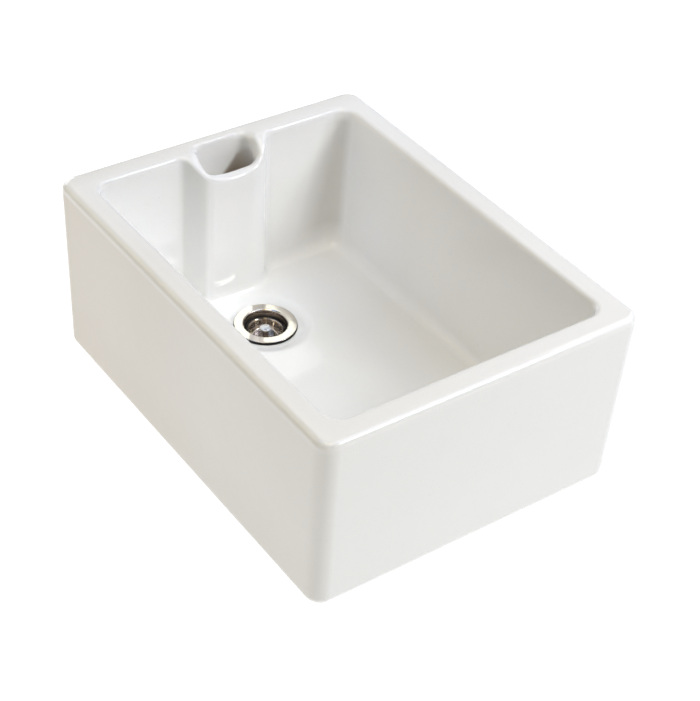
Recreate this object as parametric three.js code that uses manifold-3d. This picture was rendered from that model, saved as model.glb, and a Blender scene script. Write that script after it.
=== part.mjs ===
// Farmhouse apron front sink in glazed fireclay, with a weir overflow and a basket strainer waste.
// Millimetres, +Z up. The origin is the centre of the sink's flat underside.
// +X runs along the long side, away from the weir; -Y is the long apron face.
import * as THREE from "three";
import { mergeVertices } from "three/addons/utils/BufferGeometryUtils.js";
import Module from "manifold-3d";

const wasm = await Module();
wasm.setup();

// ---------------------------------------------------------------- driving dimensions
// sink
const LENGTH = 595; // long side at the rim
const WIDTH = 455; // short side at the rim
const HEIGHT = 255;
const TAPER_DEG = 1.05; // outer walls lean in towards the base
const TOP_EDGE_R = 9.6; // outer edge of the rim
const BASE_EDGE_R = 17; // outer edge of the underside
const CORNER_R = 22; // vertical outer corners
const WALL = 35; // rim width, outer face to inner wall
const INNER_EDGE_R = 10; // inner edge of the rim
const INNER_CORNER_R = 22;
const FLOOR_Z = 36; // basin floor at the walls
const INNER_DRAFT = 5; // how far each inner wall moves in between rim and floor
const FLOOR_FILLET_R = 18;
// weir chamber, in the middle of the short wall at -X
const WEIR_FRONT_X = -230.5; // front face of the chamber at rim height
const WEIR_HALF_W = 44.6; // half width of that front face, before its corners are rounded
const WEIR_ROOT_HALF_W = 65; // half width where the flanks meet the wall
const WEIR_CORNER_R = 20;
const WEIR_ROOT_R = 12; // hollow corner between flank and wall
const WEIR_LIP_Z = 224; // lowest point of the weir's lip
const WEIR_FLARE = 0.0165; // widening of the chamber per mm of depth
const MOUTH_X0 = -279.5; // the chamber's hollow
const MOUTH_X1 = -247;
const MOUTH_HALF_W = 40;
const MOUTH_CORNER_R = 15;
const DUCT_Z0 = 9; // overflow duct under the basin floor
const DUCT_Z1 = 19;
const DUCT_HALF_W = 18;
// waste
const WASTE_X = -152.8; // centre of the waste, on the sink's centre line
const SEAT_Z = 28.3; // floor of the dish round the waste
const FLANGE_Z = 33; // top of the waste's flange
const FLANGE_R = 42.5;
const WASTE_HOLE_R = 33;
const SPOT_R = 50; // ground seat under the sink
const SPOT_DEPTH = 3;
const BOWL_R = 29.4; // inside of the strainer bowl at the flange
const TAIL_R = 23.9; // 1 1/2 inch pipe thread, outside
const TAIL_BORE_R = 21.3;
const TAIL_END_Z = -42;
const STRAINER_RIM_Z = 24; // top of the basket's rim
const STRAINER_RIM_R = 24.3;
const SLOTS = 16; // round the basket's wall
const SLOT_TURN = 9.7; // degrees from +X to the first slot
const KNOB_R = 7.75;
const GAP = 0.3; // clearance between pieces that touch
const ROUND = 40; // sides of the larger turned pieces

// ---------------------------------------------------------------- helpers
function toManifold(geometry) {
  const bare = geometry.clone();
  for (const name of Object.keys(bare.attributes)) if (name !== "position") bare.deleteAttribute(name);
  const merged = mergeVertices(bare, 1e-4);
  const tris = [];
  const idx = merged.index.array;
  for (let i = 0; i < idx.length; i += 3) {
    const [a, b, c] = [idx[i], idx[i + 1], idx[i + 2]];
    if (a !== b && b !== c && a !== c) tris.push(a, b, c);
  }
  return new wasm.Manifold(
    new wasm.Mesh({
      numProp: 3,
      vertProperties: new Float32Array(merged.attributes.position.array),
      triVerts: new Uint32Array(tris),
    }),
  );
}

function toGeometry(manifold) {
  const mesh = manifold.getMesh();
  const positions = new Float32Array((mesh.vertProperties.length / mesh.numProp) * 3);
  for (let i = 0; i < positions.length / 3; i++)
    for (let k = 0; k < 3; k++) positions[3 * i + k] = mesh.vertProperties[i * mesh.numProp + k];
  const geometry = new THREE.BufferGeometry();
  geometry.setAttribute("position", new THREE.BufferAttribute(positions, 3));
  geometry.setIndex(new THREE.BufferAttribute(new Uint32Array(mesh.triVerts), 1));
  geometry.computeVertexNormals();
  return geometry;
}

// a rounded rectangle, counter-clockwise seen from above, always with 4 * (steps + 1) points
function roundedRectangle(x0, x1, y0, y1, r, z, steps = 6) {
  const points = [];
  const corners = [
    [x1 - r, y1 - r, 0],
    [x0 + r, y1 - r, 90],
    [x0 + r, y0 + r, 180],
    [x1 - r, y0 + r, 270],
  ];
  for (const [cx, cy, start] of corners)
    for (let i = 0; i <= steps; i++) {
      const a = THREE.MathUtils.degToRad(start + (90 * i) / steps);
      points.push(new THREE.Vector3(cx + r * Math.cos(a), cy + r * Math.sin(a), z));
    }
  return points;
}

// a closed skin through rings of equally many points, lowest ring first, capped by fans
function loft(rings) {
  const n = rings[0].length;
  const points = rings.flat();
  const index = [];
  for (let k = 0; k + 1 < rings.length; k++)
    for (let i = 0; i < n; i++) {
      const j = (i + 1) % n;
      const a = k * n + i;
      const b = k * n + j;
      index.push(a, b, b + n, a, b + n, a + n);
    }
  const centre = (ring) => ring.reduce((s, p) => s.add(p), new THREE.Vector3()).divideScalar(n);
  const low = points.length;
  points.push(centre(rings[0]), centre(rings[rings.length - 1]));
  const top = (rings.length - 1) * n;
  for (let i = 0; i < n; i++) {
    const j = (i + 1) % n;
    index.push(low, j, i, low + 1, top + i, top + j);
  }
  const geometry = new THREE.BufferGeometry().setFromPoints(points);
  geometry.setIndex(index);
  return geometry;
}

// a body of revolution about +Z from (radius, height) pairs, which close on themselves
function turned(profile, sides = ROUND) {
  const closed = [...profile, profile[0]].map(([r, z]) => new THREE.Vector2(Math.max(r, 0), z));
  const area = closed.reduce((s, p, i) => {
    const q = closed[(i + 1) % closed.length];
    return s + p.x * q.y - q.x * p.y;
  }, 0);
  if (area < 0) closed.reverse();
  return new THREE.LatheGeometry(closed, sides).rotateX(Math.PI / 2);
}

function turnedSolid(profile, sides = ROUND) {
  let solid = toManifold(turned(profile, sides));
  if (solid.volume() < 0) {
    const g = turned(profile, sides);
    const idx = g.index.array;
    for (let i = 0; i < idx.length; i += 3) [idx[i + 1], idx[i + 2]] = [idx[i + 2], idx[i + 1]];
    solid = toManifold(g);
  }
  return solid;
}

function cylinder(r, z0, z1, sides = ROUND, x = 0, y = 0) {
  return toManifold(
    new THREE.CylinderGeometry(r, r, z1 - z0, sides).rotateX(Math.PI / 2).translate(x, y, (z0 + z1) / 2),
  );
}

function box(x0, x1, y0, y1, z0, z1) {
  return toManifold(
    new THREE.BoxGeometry(x1 - x0, y1 - y0, z1 - z0).translate((x0 + x1) / 2, (y0 + y1) / 2, (z0 + z1) / 2),
  );
}

function prism(points, z0, z1) {
  const shape = new THREE.Shape(points.map(([x, y]) => new THREE.Vector2(x, y)));
  return toManifold(new THREE.ExtrudeGeometry(shape, { depth: z1 - z0, bevelEnabled: false }).translate(0, 0, z0));
}

const smooth = (t) => {
  const c = Math.min(1, Math.max(0, t));
  return c * c * (3 - 2 * c);
};

// ---------------------------------------------------------------- sink
const taper = Math.tan(THREE.MathUtils.degToRad(TAPER_DEG));

function outerRing(z, inset) {
  const lean = Math.max(0, HEIGHT - TOP_EDGE_R - z) * taper;
  const hx = LENGTH / 2 - lean - inset;
  const hy = WIDTH / 2 - lean - inset;
  return roundedRectangle(-hx, hx, -hy, hy, Math.max(4, CORNER_R - inset * 0.8 - lean * 0.4), z);
}

function outerBody() {
  const rings = [];
  for (const deg of [0, 22.5, 45, 67.5, 90]) {
    const a = THREE.MathUtils.degToRad(deg);
    rings.push(outerRing(BASE_EDGE_R * (1 - Math.cos(a)), BASE_EDGE_R * (1 - Math.sin(a))));
  }
  for (const deg of [0, 30, 60, 90]) {
    const a = THREE.MathUtils.degToRad(deg);
    rings.push(outerRing(HEIGHT - TOP_EDGE_R * (1 - Math.sin(a)), TOP_EDGE_R * (1 - Math.cos(a))));
  }
  return toManifold(loft(rings));
}

const innerHalfX = LENGTH / 2 - WALL;
const innerHalfY = WIDTH / 2 - WALL;
const innerTopZ = HEIGHT - INNER_EDGE_R;
const draftAt = (z) => (INNER_DRAFT * Math.min(innerTopZ - FLOOR_Z, Math.max(0, innerTopZ - z))) / (innerTopZ - FLOOR_Z);

// (distance from the waste, height) of the floor: a shallow round dish, then a gentle rise
const FLOOR_PROFILE = [
  [46, SEAT_Z],
  [49.5, SEAT_Z + 0.5],
  [54, SEAT_Z + 2.2],
  [59, SEAT_Z + 4.4],
  [63, SEAT_Z + 5.2],
  [120, 34.9],
  [164, FLOOR_Z + 0.1],
];

function floorAt(x, y) {
  const r = Math.hypot(x - WASTE_X, y);
  for (let i = 1; i < FLOOR_PROFILE.length; i++) {
    const [r0, z0] = FLOOR_PROFILE[i - 1];
    const [r1, z1] = FLOOR_PROFILE[i];
    if (r < r1) return z0 + ((z1 - z0) * Math.max(0, r - r0)) / (r1 - r0);
  }
  return FLOOR_Z + 0.1;
}

// outline of the basin's inside, with extra points on the side at -X; fall (0 to 1) lets it follow the floor
function innerRing(z, grow, fall = 0) {
  const hx = innerHalfX - draftAt(z) + grow;
  const hy = innerHalfY - draftAt(z) + grow;
  const points = roundedRectangle(-hx, hx, -hy, hy, Math.max(5, INNER_CORNER_R + grow * 0.8), z);
  const side = Array.from({ length: 11 }, (_, i) => points[13].clone().lerp(points[14], (i + 1) / 12));
  points.splice(14, 0, ...side);
  return points.map((p) => p.setZ(p.z + fall * Math.min(0, floorAt(p.x, p.y) - FLOOR_Z)));
}

function basinHollow() {
  const rings = [];
  for (const deg of [0, 22.5, 45, 67.5, 90]) {
    const a = THREE.MathUtils.degToRad(deg);
    rings.push(
      innerRing(FLOOR_Z + FLOOR_FILLET_R * (1 - Math.cos(a)), -FLOOR_FILLET_R * (1 - Math.sin(a)), Math.cos(a)),
    );
  }
  for (const deg of [0, 30, 60, 90]) {
    const a = THREE.MathUtils.degToRad(deg);
    rings.push(innerRing(innerTopZ + INNER_EDGE_R * Math.sin(a), INNER_EDGE_R * (1 - Math.cos(a))));
  }
  rings.push(innerRing(HEIGHT + 12, INNER_EDGE_R));
  return toManifold(loft(rings));
}

// the floor falls gently to the waste, which sits in a shallow round dish
function floorDish() {
  const cone = turnedSolid([[0, SEAT_Z], ...FLOOR_PROFILE, [164, FLOOR_Z + 6], [0, FLOOR_Z + 6]]).translate([WASTE_X, 0, 0]);
  // kept off the walls, so that the hollow corner at their foot stays whole
  return cone.intersect(toManifold(loft([innerRing(20, -17.6), innerRing(FLOOR_Z + 8, -17.6)])));
}

// plan outline of the weir chamber at a height: root, hollow corner, flank, round corner, front
function weirOutline(z, foot = 0) {
  const shift = draftAt(z);
  const widen = Math.max(0, 222 - z) * WEIR_FLARE;
  const wallX = -innerHalfX + shift;
  const frontX = WEIR_FRONT_X + shift + foot;
  const half = WEIR_HALF_W + widen + foot;
  const root = WEIR_ROOT_HALF_W + widen * 0.4 + foot;
  const flank = new THREE.Vector2(frontX - wallX, root - half).normalize();
  const turn = Math.acos(flank.y);
  const outward = Math.atan2(-flank.x, flank.y);
  const side = [];
  const tRoot = WEIR_ROOT_R * Math.tan(turn / 2);
  side.push([-277, -root - tRoot - 0.6]);
  side.push([wallX - 0.4, -root - tRoot - 0.6]);
  // hollow corner: its centre lies inside the basin
  const cx = wallX + WEIR_ROOT_R;
  const cy = -root - tRoot;
  for (let i = 1; i <= 4; i++) {
    const a = Math.PI - (turn * i) / 4;
    side.push([cx + WEIR_ROOT_R * Math.cos(a), cy + WEIR_ROOT_R * Math.sin(a)]);
  }
  const tFront = WEIR_CORNER_R * Math.tan(turn / 2);
  for (let i = 0; i <= 6; i++) {
    const a = outward * (1 - i / 6);
    side.push([frontX - WEIR_CORNER_R + WEIR_CORNER_R * Math.cos(a), -half + tFront + WEIR_CORNER_R * Math.sin(a)]);
  }
  const other = side.map(([x, y]) => [x, -y]).reverse();
  return [...side, ...other].map(([x, y]) => new THREE.Vector3(x, y, z));
}

function weirBlock() {
  const foot = 11;
  const base = FLOOR_Z - 2.2;
  const rings = [weirOutline(22, foot)];
  for (const deg of [0, 30, 60, 90]) {
    const a = THREE.MathUtils.degToRad(deg);
    rings.push(weirOutline(base + foot * (1 - Math.cos(a)), foot * (1 - Math.sin(a))));
  }
  rings.push(weirOutline(140), weirOutline(222), weirOutline(245), weirOutline(HEIGHT + 2));
  return toManifold(loft(rings));
}

// height of the weir's scooped top at a point of the plan: the lip stays low, the shoulders
// beside the mouth climb back to the rim
function scoopZ(x, y) {
  const low = WEIR_LIP_Z + (HEIGHT - WEIR_LIP_Z) * Math.min(1, Math.abs(y / 66)) ** 2.4;
  const side = smooth((Math.abs(y) - 26) / 20);
  const start = THREE.MathUtils.lerp(-252, -236, side);
  const end = THREE.MathUtils.lerp(-279, -266, side);
  return THREE.MathUtils.lerp(low, HEIGHT, smooth((start - x) / (start - end)));
}

function scoopCutter() {
  const nx = 12;
  const ny = 22;
  const xs = Array.from({ length: nx + 1 }, (_, i) => -279.4 + (i * (279.4 - 205)) / nx);
  const ys = Array.from({ length: ny + 1 }, (_, i) => -66 + (132 * i) / ny);
  const points = [];
  for (const top of [false, true])
    for (const x of xs) for (const y of ys) points.push(new THREE.Vector3(x, y, top ? HEIGHT + 12 : scoopZ(x, y) + 0.02));
  const index = [];
  const at = (level, i, j) => level * (nx + 1) * (ny + 1) + i * (ny + 1) + j;
  const quad = (a, b, c, d) => index.push(a, b, c, a, c, d);
  for (let i = 0; i < nx; i++)
    for (let j = 0; j < ny; j++) {
      quad(at(0, i, j), at(0, i, j + 1), at(0, i + 1, j + 1), at(0, i + 1, j));
      quad(at(1, i, j), at(1, i + 1, j), at(1, i + 1, j + 1), at(1, i, j + 1));
    }
  for (let i = 0; i < nx; i++) {
    quad(at(0, i, 0), at(0, i + 1, 0), at(1, i + 1, 0), at(1, i, 0));
    quad(at(0, i + 1, ny), at(0, i, ny), at(1, i, ny), at(1, i + 1, ny));
  }
  for (let j = 0; j < ny; j++) {
    quad(at(0, 0, j + 1), at(0, 0, j), at(1, 0, j), at(1, 0, j + 1));
    quad(at(0, nx, j), at(0, nx, j + 1), at(1, nx, j + 1), at(1, nx, j));
  }
  const geometry = new THREE.BufferGeometry().setFromPoints(points);
  geometry.setIndex(index);
  return toManifold(geometry);
}

// the hollow inside the weir chamber, from the overflow duct up through the mouth
function chamberHollow() {
  const plain = (z, grow, x0) =>
    roundedRectangle(x0 - grow, MOUTH_X1 + grow, -MOUTH_HALF_W - grow, MOUTH_HALF_W + grow, MOUTH_CORNER_R + grow, z, 5);
  const riding = (below, grow) => plain(0, grow, MOUTH_X0).map((p) => p.setZ(scoopZ(p.x, p.y) - below));
  return toManifold(
    loft([
      plain(DUCT_Z0, 0, MOUTH_X0 + 3.5),
      plain(150, 0, MOUTH_X0 + 3.5),
      plain(205, 0, MOUTH_X0),
      riding(6.5, 0),
      riding(2.2, 1.4),
      riding(0, 5.4),
      plain(HEIGHT + 8, 5.6, MOUTH_X0 + 5.6),
    ]),
  );
}

function sinkBasin() {
  const duct = (() => {
    const r = 4;
    const shape = new THREE.Shape();
    shape.moveTo(-DUCT_HALF_W + r, DUCT_Z0);
    shape.lineTo(DUCT_HALF_W - r, DUCT_Z0);
    shape.absarc(DUCT_HALF_W - r, DUCT_Z0 + r, r, -Math.PI / 2, 0, false);
    shape.absarc(DUCT_HALF_W - r, DUCT_Z1 - r, r, 0, Math.PI / 2, false);
    shape.absarc(-DUCT_HALF_W + r, DUCT_Z1 - r, r, Math.PI / 2, Math.PI, false);
    shape.absarc(-DUCT_HALF_W + r, DUCT_Z0 + r, r, Math.PI, 1.5 * Math.PI, false);
    const g = new THREE.ExtrudeGeometry(shape, { depth: 90, bevelEnabled: false, curveSegments: 3 });
    // the extrusion runs along +X: shape x becomes Y, shape y becomes Z
    g.applyMatrix4(new THREE.Matrix4().set(0, 0, 1, -256, 1, 0, 0, 0, 0, 1, 0, 0, 0, 0, 0, 1));
    return toManifold(g);
  })();
  const hollow = basinHollow().add(floorDish()).subtract(weirBlock());
  return outerBody()
    .subtract(hollow)
    .subtract(scoopCutter())
    .subtract(chamberHollow())
    .subtract(duct)
    .subtract(cylinder(WASTE_HOLE_R, -6, SEAT_Z + 8, ROUND, WASTE_X, 0))
    .subtract(cylinder(SPOT_R, -6, SPOT_DEPTH, ROUND, WASTE_X, 0));
}

// ---------------------------------------------------------------- waste, turned about its own centre line
function wasteBody() {
  const flangeUnder = FLANGE_Z - 1.6;
  let body = turnedSolid([
    [BOWL_R + 0.5, FLANGE_Z - 1.2],
    [BOWL_R + 1.3, FLANGE_Z - 0.35],
    [BOWL_R + 2.6, FLANGE_Z],
    [FLANGE_R - 0.5, FLANGE_Z - 0.1],
    [FLANGE_R, FLANGE_Z - 0.45],
    [FLANGE_R - 0.3, FLANGE_Z - 0.9],
    [FLANGE_R - 3, flangeUnder],
    [BOWL_R + 1.4, flangeUnder],
    [BOWL_R + 1.4, 18.5],
    [24.6, 11.8],
    [TAIL_R, 10.8],
    [TAIL_R, TAIL_END_Z + 1],
    [TAIL_R - 1, TAIL_END_Z],
    [TAIL_BORE_R, TAIL_END_Z],
    [TAIL_BORE_R, 10.2],
    [22, 12],
    [25.5, 17],
    [28.3, 20.5],
    [28.3, 27.4],
    [28.7, 28.2],
    [BOWL_R, 28.8],
    [BOWL_R, FLANGE_Z - 2.4],
  ]);
  // overflow slots through the tail, in line with the duct
  for (let i = 0; i < 4; i++) {
    const slot = box(17, 27, -7, 7, 1.5, 9.8).rotate([0, 0, i * 90]);
    body = body.subtract(slot);
  }
  // cross bars and hub that guide the basket's stem
  let cross = cylinder(8, -12, -7, 24);
  cross = cross.add(box(-22.2, 22.2, -1.6, 1.6, -12, -7)).add(box(-1.6, 1.6, -22.2, 22.2, -12, -7));
  return body.add(cross).subtract(cylinder(5.6, -14, -5, 24));
}

const ring = (r0, r1, z0, z1, sides = ROUND, edge = 0) =>
  turnedSolid(
    edge
      ? [
          [r0, z0],
          [r1 - edge, z0],
          [r1, z0 + edge],
          [r1, z1 - edge],
          [r1 - edge, z1],
          [r0, z1],
        ]
      : [
          [r0, z0],
          [r1, z0],
          [r1, z1],
          [r0, z1],
        ],
    sides,
  );

// squeezed out a little beyond the flange
const flangeGasket = () =>
  turnedSolid([
    [BOWL_R + 1.9, SEAT_Z + GAP],
    [FLANGE_R + 0.2, SEAT_Z + GAP],
    [FLANGE_R + 0.6, SEAT_Z + 1.2],
    [FLANGE_R + 0.5, FLANGE_Z - 1.9],
    [FLANGE_R + 0.1, FLANGE_Z - 1.35],
    [FLANGE_R - 0.6, FLANGE_Z - 1.35],
    [FLANGE_R - 3.2, FLANGE_Z - 1.95],
    [BOWL_R + 1.9, FLANGE_Z - 1.95],
  ]);

const undersideGasket = () =>
  turnedSolid([
    [TAIL_R + 0.4, -3.3],
    [41, -3.3],
    [42, -2.3],
    [42, SPOT_DEPTH - GAP],
    [TAIL_R + 0.4, SPOT_DEPTH - GAP],
  ]);

const slipWasher = () => ring(TAIL_R + 0.4, 41, -5.2, -3.6, ROUND, 0.3);

function backNut() {
  const hex = [];
  for (let i = 0; i < 6; i++) {
    const a = (Math.PI / 3) * i + Math.PI / 6;
    hex.push([(32 / Math.cos(Math.PI / 6)) * Math.cos(a), (32 / Math.cos(Math.PI / 6)) * Math.sin(a)]);
  }
  const body = prism(hex, -18, -7)
    .add(ring(20, 39, -8, -5.5, ROUND, 0.6))
    .intersect(
      turnedSolid([
        [0, -18],
        [33.5, -18],
        [37.2, -15.8],
        [40, -12],
        [40, -5],
        [0, -5],
      ]),
    );
  return body.subtract(cylinder(TAIL_R + GAP, -20, 0));
}

const hubBush = () =>
  turnedSolid(
    [
      [3.8, -12.6],
      [5.3, -12.6],
      [5.3, -6.7],
      [6.9, -6.7],
      [6.9, -5.6],
      [3.8, -5.6],
    ],
    24,
  );

// ---------------------------------------------------------------- basket
function basketCup() {
  let cup = turnedSolid([
    [STRAINER_RIM_R - 0.3, STRAINER_RIM_Z - 0.9],
    [STRAINER_RIM_R, STRAINER_RIM_Z - 0.5],
    [STRAINER_RIM_R - 0.3, STRAINER_RIM_Z],
    [22.9, STRAINER_RIM_Z - 0.1],
    [22.2, STRAINER_RIM_Z - 1.2],
    [20.7, 13],
    [19.4, 10.3],
    [17, 9.2],
    [3.3, 9.0],
    [3.3, 8.0],
    [17.4, 8.2],
    [20.3, 9.6],
    [21.7, 12.8],
    [22.9, STRAINER_RIM_Z - 1.3],
    [23.2, STRAINER_RIM_Z - 0.9],
  ]);
  // slots round the wall with a small hole between each two, and holes in the floor
  let cuts = null;
  const cut = (m) => {
    cuts = cuts ? cuts.add(m) : m;
  };
  for (let i = 0; i < SLOTS; i++) {
    const a = SLOT_TURN + (360 * i) / SLOTS;
    cut(box(18, 26, -0.9, 0.9, 13.6, 19.6).rotate([0, 0, a]));
    cut(cylinder(0.9, 18, 26, 6).rotate([0, 90, 0]).translate([0, 0, 15.8]).rotate([0, 0, a + 180 / SLOTS]));
  }
  for (let i = 0; i < 12; i++) cut(cylinder(1.5, 6, 11, 6, 13.6, 0).rotate([0, 0, i * 30 + 15]));
  for (let i = 0; i < 6; i++) cut(cylinder(1.5, 6, 11, 6, 8.6, 0).rotate([0, 0, i * 60]));
  return cup.subtract(cuts);
}

const basketRimSeal = () =>
  turnedSolid([
    [23.3, 20.5],
    [27.2, 20.5],
    [27.8, 21.1],
    [27.8, 23.6],
    [27.3, 24.1],
    [24.7, 24.1],
    [24.7, 22.7],
    [23.4, 22.5],
  ]);

const basketKnob = () =>
  turnedSolid(
    [
      [0, 24.6],
      [3.3, 24.6],
      [3.3, 23.4],
      [6.2, 23.5],
      [7.4, 24.0],
      [KNOB_R, 24.8],
      [7.3, 25.7],
      [5.4, 26.5],
      [2.8, 26.9],
      [0, 27.0],
    ],
    32,
  );

const basketStem = () =>
  turnedSolid(
    [
      [0, -17],
      [2.2, -17],
      [3, -16.2],
      [3, -14.6],
      [2.55, -14.6],
      [2.55, -13],
      [3, -13],
      [3, 9.3],
      [5, 9.3],
      [5, 22.4],
      [4.4, 23.1],
      [3, 23.1],
      [3, 24.3],
      [0, 24.3],
    ],
    24,
  );

const stemWasher = () => ring(3.3, 6.2, 6.7, 7.7, 24);

function stemNut() {
  const hex = [];
  for (let i = 0; i < 6; i++) {
    const a = (Math.PI / 3) * i;
    hex.push([5.2 * Math.cos(a), 5.2 * Math.sin(a)]);
  }
  return prism(hex, 2.9, 6.4).subtract(cylinder(3.3, 0, 9, 24));
}

const detentRing = () => ring(2.85, 3.5, -14.3, -13.3, 24);

// ---------------------------------------------------------------- materials and assembly
const material = (color, roughness, metalness) => new THREE.MeshStandardMaterial({ color, roughness, metalness });

const sink = new THREE.Group();
sink.name = "farmhouse_sink";
const waste = new THREE.Group();
waste.position.set(WASTE_X, 0, 0);
sink.add(waste);
const basket = new THREE.Group();
waste.add(basket);

function piece(parent, name, solid, mat) {
  const mesh = new THREE.Mesh(toGeometry(solid), mat);
  mesh.name = name;
  parent.add(mesh);
  return mesh;
}

piece(sink, "sink_basin", sinkBasin(), material(0xf1f0ec, 0.12, 0));
piece(waste, "waste_body", wasteBody(), material(0xcfcac2, 0.12, 1));
piece(waste, "flange_gasket", flangeGasket(), material(0x141414, 0.7, 0));
piece(waste, "underside_gasket", undersideGasket(), material(0x1a1a1a, 0.75, 0));
piece(waste, "slip_washer", slipWasher(), material(0xe4e0d6, 0.5, 0));
piece(waste, "back_nut", backNut(), material(0xb89a5a, 0.35, 1));
piece(waste, "hub_bush", hubBush(), material(0xe8e6e0, 0.5, 0));
piece(basket, "basket_cup", basketCup(), material(0xb9b0a6, 0.2, 1));
piece(basket, "basket_rim_seal", basketRimSeal(), material(0x111111, 0.6, 0));
piece(basket, "basket_knob", basketKnob(), material(0xd8dce4, 0.1, 1));
piece(basket, "basket_stem", basketStem(), material(0xbdb6ad, 0.2, 1));
piece(basket, "stem_washer", stemWasher(), material(0xb9b4ac, 0.35, 1));
piece(basket, "stem_nut", stemNut(), material(0xb9b4ac, 0.3, 1));
piece(basket, "detent_ring", detentRing(), material(0x9a9a98, 0.4, 1));

export default sink;
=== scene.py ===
"""Looks of a glazed fireclay farmhouse sink with a weir overflow and a basket strainer waste.

Lengths in the shape code are millimetres in the part's own frame; meshes are written in metres.
"""

import math

import bpy
import numpy as np
from mathutils import Matrix, Vector


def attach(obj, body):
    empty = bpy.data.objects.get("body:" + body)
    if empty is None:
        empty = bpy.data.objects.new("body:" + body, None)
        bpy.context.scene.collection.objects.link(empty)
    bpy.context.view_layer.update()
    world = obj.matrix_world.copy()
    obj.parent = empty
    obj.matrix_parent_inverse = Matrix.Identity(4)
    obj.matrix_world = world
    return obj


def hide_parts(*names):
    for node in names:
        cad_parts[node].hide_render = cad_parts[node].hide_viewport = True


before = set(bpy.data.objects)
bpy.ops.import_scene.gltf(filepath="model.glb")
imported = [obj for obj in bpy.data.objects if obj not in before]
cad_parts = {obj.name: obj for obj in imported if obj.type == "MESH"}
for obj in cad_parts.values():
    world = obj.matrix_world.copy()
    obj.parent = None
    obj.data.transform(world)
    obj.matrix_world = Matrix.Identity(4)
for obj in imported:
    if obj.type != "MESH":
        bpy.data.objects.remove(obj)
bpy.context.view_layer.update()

MM = 0.001

# ---------------------------------------------------------------- driving dimensions, as in the part
LENGTH, WIDTH, HEIGHT = 595.0, 455.0, 255.0
TAPER = math.tan(math.radians(1.05))
TOP_EDGE_R, BASE_EDGE_R, CORNER_R = 9.6, 17.0, 22.0
WALL, INNER_EDGE_R, INNER_CORNER_R = 35.0, 10.0, 22.0
FLOOR_Z, INNER_DRAFT, FLOOR_FILLET_R = 36.0, 5.0, 18.0
WEIR_FRONT_X, WEIR_HALF_W, WEIR_ROOT_HALF_W = -230.5, 44.6, 65.0
WEIR_LIP_Z, WEIR_FLARE = 224.0, 0.0165
MOUTH_X0, MOUTH_X1, MOUTH_HALF_W, MOUTH_CORNER_R = -279.5, -247.0, 40.0, 15.0
WASTE_X, SEAT_Z, FLANGE_Z, FLANGE_R = -152.8, 28.3, 33.0, 42.5
WASTE_HOLE_R, SPOT_R, SPOT_DEPTH = 33.0, 50.0, 3.0
BOWL_R, TAIL_R, TAIL_BORE_R, TAIL_END_Z = 29.4, 23.9, 21.3, -42.0
INNER_HX, INNER_HY = LENGTH / 2 - WALL, WIDTH / 2 - WALL


# ---------------------------------------------------------------- distance fields
def smax(a, b, r):
    """Largest of two fields, the crease between them rounded to radius r."""
    u = np.maximum(a + r, 0.0)
    v = np.maximum(b + r, 0.0)
    return np.minimum(np.maximum(a, b), -r) + np.sqrt(u * u + v * v)


def smin(a, b, r):
    return -smax(-a, -b, r)


def ease(t):
    t = np.clip(t, 0.0, 1.0)
    return t * t * (3.0 - 2.0 * t)


def rrect(x, y, hx, hy, r):
    """Distance to a rounded rectangle in the plan."""
    qx = np.abs(x) - hx + r
    qy = np.abs(y) - hy + r
    return np.hypot(np.maximum(qx, 0.0), np.maximum(qy, 0.0)) + np.minimum(np.maximum(qx, qy), 0.0) - r


def floor_height(r):
    """Height of the basin's floor at a distance from the waste: a gentle fall, then the dish."""
    fall = 33.4 + 2.6 * (1.0 - np.exp(-np.maximum(r - 58.0, 0.0) / 72.0))
    return fall - 5.1 * ease((65.0 - r) / 19.0)


def hand_made(x, y, z):
    """Slow swells of the fired surface, between -1 and 1."""
    return (
        np.sin(x / 23.0 + 0.7) * np.sin(y / 29.0 + 1.9) * 0.35
        + np.sin(x / 41.0 + z / 37.0 + 2.1) * 0.30
        + np.sin(y / 33.0 - z / 27.0 + 0.4) * 0.35
    )


def weir_top(x, y):
    """Height of the rim, scooped out over the weir chamber; the shoulders beside the mouth climb back to the rim."""
    low = WEIR_LIP_Z + (HEIGHT - WEIR_LIP_Z) * np.minimum(1.0, np.abs(y) / 66.0) ** 2.4
    side = ease((np.abs(y) - 26.0) / 20.0)
    start, end = -252.0 + 16.0 * side, -279.0 + 13.0 * side
    scoop = low + (HEIGHT - low) * ease((start - x) / (start - end))
    return np.where(x > -208.0, HEIGHT, scoop)


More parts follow.
